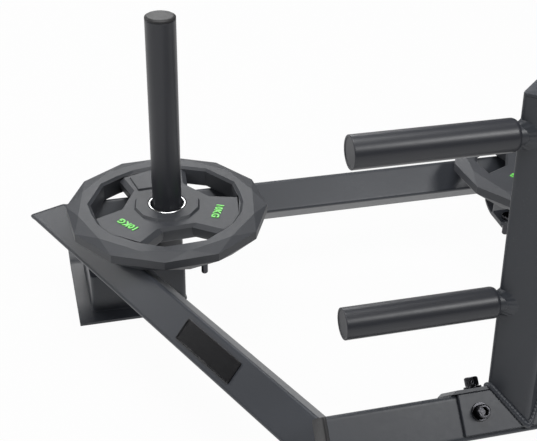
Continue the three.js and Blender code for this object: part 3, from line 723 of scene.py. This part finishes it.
def plate_shape(centre):
    """The plate as grids. One third is a set of closed lines round a window, from the web's lower edge
    through the window's bevels and wall to the web's upper edge, each side of the window drawn in by its
    draft times the line's inset; the boss is a stack of twelve-sided rings.

    The rim is carried round from the web's lower edge to its upper one. Its crest has a corner every
    30 degrees and its wall has one halfway between; crest column j stands at 30 floor((j + 1) / 2) and
    wall column j at 15 + 30 floor(j / 2), so the faces between them are triangles.
    """
    grids = []
    outer = np.linspace(-60, 60, 9)
    inner = np.linspace(60, -60, 17)
    for window in range(3):
        turn = first_window + 120 * window
        corners = polar(window_radii, turn + window_angles, 0)[:, :2]
        border = np.concatenate([
            polar(rim_radius(turn + outer) - rim_slope, turn + outer, 0),
            polar(spoke_middle, turn + outer[-1:], 0),
            polar(polygon_radius(boss_radius, turn + inner), turn + inner, 0),
            polar(spoke_middle, turn + outer[:1], 0)])[:, :2]
        rows = []
        for inset, z in ((None, 4), (0, 4), (4, 7), (7, 13), (8, 20), (8, 27), (0, 33), (None, 33)):
            flat = border
            if inset is not None:
                flat = resample(inset_polygon(corners, inset * mm * window_draft), window_steps)
            rows.append(np.column_stack([flat, np.full(len(flat), z * mm)]))
        grids.append((centre + np.array(rows), False, True))
    j = np.arange(24)
    even = first_window + j * 15.0
    crest = first_window + (j + 1) // 2 * 30.0
    wall = first_window + 15 + j // 2 * 30.0
    edge = rim_radius(even)
    rim = [(edge - rim_slope, even, web_top), (edge, even, plate_thickness), (rim_crest, crest, plate_thickness),
           (wall_radius, wall, wall_top), (wall_radius, wall, wall_bottom),
           (rim_crest, crest, 0), (edge, even, 0), (edge - rim_slope, even, web_bottom)]
    grids.append((centre + np.array([polar(r, a, z) for r, a, z in rim]), False, True))
    a = first_window + np.arange(48) * 7.5
    boss = [(boss_radius, web_top), (boss_radius - boss_edge, plate_thickness), (None, plate_thickness), (None, 0),
            (boss_radius - boss_edge, 0), (boss_radius, web_bottom)]
    rings = [polar(np.full(48, bush_radius) if r is None else polygon_radius(r, a), a, z) for r, z in boss]
    grids.append((centre + np.array(rings), False, True))
    return grids


def bare_panel(centre):
    """The raised panel on the far spoke, left bare: a trapezium 61 to 108 mm from the axis whose sides
    draw in 1.4 mm over its top 2 mm."""
    outward = polar(1.0, np.array([94.0]), 0)[0]
    across = np.cross(up, outward)
    rows = []
    for inset, z in ((0, web_top - 0.5 * mm), (0, web_top + 0.6 * mm), (1.4 * mm, web_top + 2.6 * mm)):
        line = inset_polygon(np.array([[38, 61], [43, 108], [-43, 108], [-38, 61]]) * mm, inset)
        rows.append(centre + line[:, :1] * across + line[:, 1:] * outward + up * z)
    return closed_ends(np.array(rows))


def mark(name, text, height, centre, along, across, lift, body):
    """Raised letters in enamel: outlines given a depth, made a mesh, then laid on the plate."""
    letters = bpy.data.curves.new(name, "FONT")
    letters.body = text
    letters.size = height / 0.70
    letters.align_x = letters.align_y = "CENTER"
    letters.offset = 0.5 * mm
    letters.extrude = lift
    letters.bevel_depth = 0.25 * mm
    letters.space_character = 1.08
    flat = bpy.data.objects.new(name + "_outline", letters)
    bpy.context.scene.collection.objects.link(flat)
    bpy.context.view_layer.update()
    mesh = bpy.data.meshes.new_from_object(flat.evaluated_get(bpy.context.evaluated_depsgraph_get()))
    bpy.data.objects.remove(flat)
    out = np.cross(along, across)
    matrix = np.eye(4)
    matrix[:3, 0], matrix[:3, 1], matrix[:3, 2], matrix[:3, 3] = along, across, out, centre + [0, peg_line, 0]
    mesh.transform(Matrix(matrix.tolist()))
    mesh.materials.clear()
    mesh.materials.append(filled_enamel)
    mesh.name = name
    made = bpy.data.objects.new(name, mesh)
    bpy.context.scene.collection.objects.link(made)
    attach(made, body)


ring_hole, ring_land, ring_edge, ring_outer = 25.6 * mm, 29.6 * mm, 31.4 * mm, 33.5 * mm
ring_lead, ring_round = 10 * mm, 1.1 * mm
ring = soften([[ring_hole, ring_lead], [ring_land, 0], [ring_edge, 0], [ring_outer, ring_round],
               [ring_outer, plate_thickness - ring_round], [ring_edge, plate_thickness],
               [ring_land, plate_thickness], [ring_hole, plate_thickness - ring_lead]], 0.5 * mm, 4)
mark_height, mark_radius, mark_lift = 12.4 * mm, 89.5 * mm, 0.9 * mm
for side, sign in (("left", -1), ("right", 1)):
    centre = np.array([sign * peg_x, 0, floor_plate])
    body = f"plate_{side}"
    piece(f"rubber_plate_{side}", plate_shape(centre), moulded_rubber, body=body, slot="plate_rubber",
          replaces=[f"weight_plate_{side}"], bevel=1.0 * mm, sharp=10)
    piece(f"bare_panel_{side}", [(bare_panel(centre), False, True)], moulded_rubber, body=body,
          slot="plate_rubber", bevel=0.5 * mm)
    piece(f"steel_bush_{side}", [(turned(ring, centre, up, 96), True, True)], turned_steel, body=body,
          slot="bright_steel", replaces=[f"plate_bush_{side}"])
    for spoke, place in ((214.0, "near"), (334.0, "far")):
        outward = np.array([math.cos(math.radians(spoke)), math.sin(math.radians(spoke)), 0])
        clockwise = np.array([outward[1], -outward[0], 0])
        mark(f"weight_mark_{place}_{side}", "10KG", mark_height, centre + outward * mark_radius + up * web_top,
             clockwise, outward, mark_lift, body)

# ---------------------------------------------------------------- floor, lights and camera

def plain_backdrop(name, shade, seen_as_white):
    """Matt painted board. Seen directly or in a reflection, most of it is plain white."""
    material = bpy.data.materials.new(name)
    material.use_nodes = True
    tree = material.node_tree
    tree.nodes.clear()
    path = node(tree, "ShaderNodeLightPath")
    either = node(tree, "ShaderNodeMath", {"operation": "MAXIMUM"},
                  _0=path.outputs["Is Camera Ray"], _1=path.outputs["Is Glossy Ray"])
    either = node(tree, "ShaderNodeMath", {"operation": "MAXIMUM"},
                  _0=either.outputs[0], _1=path.outputs["Is Transmission Ray"])
    share = node(tree, "ShaderNodeMath", {"operation": "MULTIPLY"}, _0=either.outputs[0], _1=seen_as_white)
    paint = node(tree, "ShaderNodeBsdfDiffuse", {"Color": colour(shade)})
    white = node(tree, "ShaderNodeEmission", {"Strength": 1.0})
    mixed = node(tree, "ShaderNodeMixShader", _0=share.outputs[0], _1=paint.outputs[0], _2=white.outputs[0])
    out = node(tree, "ShaderNodeOutputMaterial")
    tree.links.new(mixed.outputs[0], out.inputs["Surface"])
    return material


floor_mesh = bpy.data.meshes.new("studio_floor")
floor_mesh.from_pydata([(-8, -8, -0.001), (8, -8, -0.001), (8, 8, -0.001), (-8, 8, -0.001)], [], [(0, 1, 2, 3)])
floor = bpy.data.objects.new("studio_floor", floor_mesh)
bpy.context.scene.collection.objects.link(floor)
floor_mesh.materials.append(plain_backdrop("matt_pale_floor", "#c0c0c0", 0.97))

world = bpy.data.worlds.new("studio_air")
world.use_nodes = True
bpy.context.scene.world = world
tree = world.node_tree
tree.nodes.clear()
path = node(tree, "ShaderNodeLightPath")
seen = node(tree, "ShaderNodeMath", {"operation": "MAXIMUM"},
            _0=path.outputs["Is Camera Ray"], _1=path.outputs["Is Transmission Ray"])
soft_air = node(tree, "ShaderNodeBackground", {"Color": colour("#ffffff"), "Strength": 0.04})
white_air = node(tree, "ShaderNodeBackground", {"Color": colour("#ffffff"), "Strength": 1.0})
mixed = node(tree, "ShaderNodeMixShader", _0=seen.outputs[0], _1=soft_air.outputs[0], _2=white_air.outputs[0])
out = node(tree, "ShaderNodeOutputWorld")
tree.links.new(mixed.outputs[0], out.inputs["Surface"])


def soft_box(name, place, aim, width, height, power):
    """A rectangular soft light, its size in metres and its power in watts."""
    lamp = bpy.data.lights.new(name, "AREA")
    lamp.shape = "RECTANGLE"
    lamp.size, lamp.size_y, lamp.energy = width, height, power
    holder = bpy.data.objects.new(name, lamp)
    holder.location = place
    holder.rotation_euler = (Vector(aim) - Vector(place)).to_track_quat("-Z", "Y").to_euler()
    bpy.context.scene.collection.objects.link(holder)


soft_box("key_soft_box", (1.4, -2.2, 2.9), (0, 0, 0.3), 1.3, 0.7, 46)
soft_box("overhead_soft_box", (-0.3, 0.2, 3.2), (0, 0, 0.1), 1.8, 1.8, 60)
soft_box("left_soft_box", (-3.0, -0.9, 2.2), (-0.2, 0.1, 0.2), 1.2, 1.2, 22)
soft_box("left_back_soft_box", (-3.2, 2.3, 1.4), (-0.4, 0.3, 0.2), 1.0, 0.8, 22)
soft_box("back_soft_box", (0.0, 3.4, 2.1), (-0.2, 0, 0.2), 2.2, 1.2, 44)

# The camera as solved from the photograph: 32.35 degrees down, turned 15 degrees to the right and
# rolled by 1.3 degrees
lens = bpy.data.cameras.new("camera")
lens.sensor_width = 36
lens.lens = 70.46
lens.clip_start = 0.05
camera = bpy.data.objects.new("camera", lens)
bpy.context.scene.collection.objects.link(camera)
level = np.array([0.9659, -0.2588, 0.0])
ahead = np.array([0.2588, 0.9659, 0.0])
pitch = math.radians(32.35)
forward = ahead * math.cos(pitch) - up * math.sin(pitch)
upward = ahead * math.sin(pitch) + up * math.cos(pitch)
across = 0.9997 * level + 0.0227 * upward
over = -0.0227 * level + 0.9997 * upward
place = np.array([-peg_x - 0.231, peg_line - 1.542, ridge + 0.985])
turn = np.eye(4)
turn[:3, 0], turn[:3, 1], turn[:3, 2], turn[:3, 3] = across, over, -forward, place
camera.matrix_world = Matrix(turn.tolist())
bpy.context.scene.camera = camera
bpy.context.scene.view_settings.view_transform = "Standard"
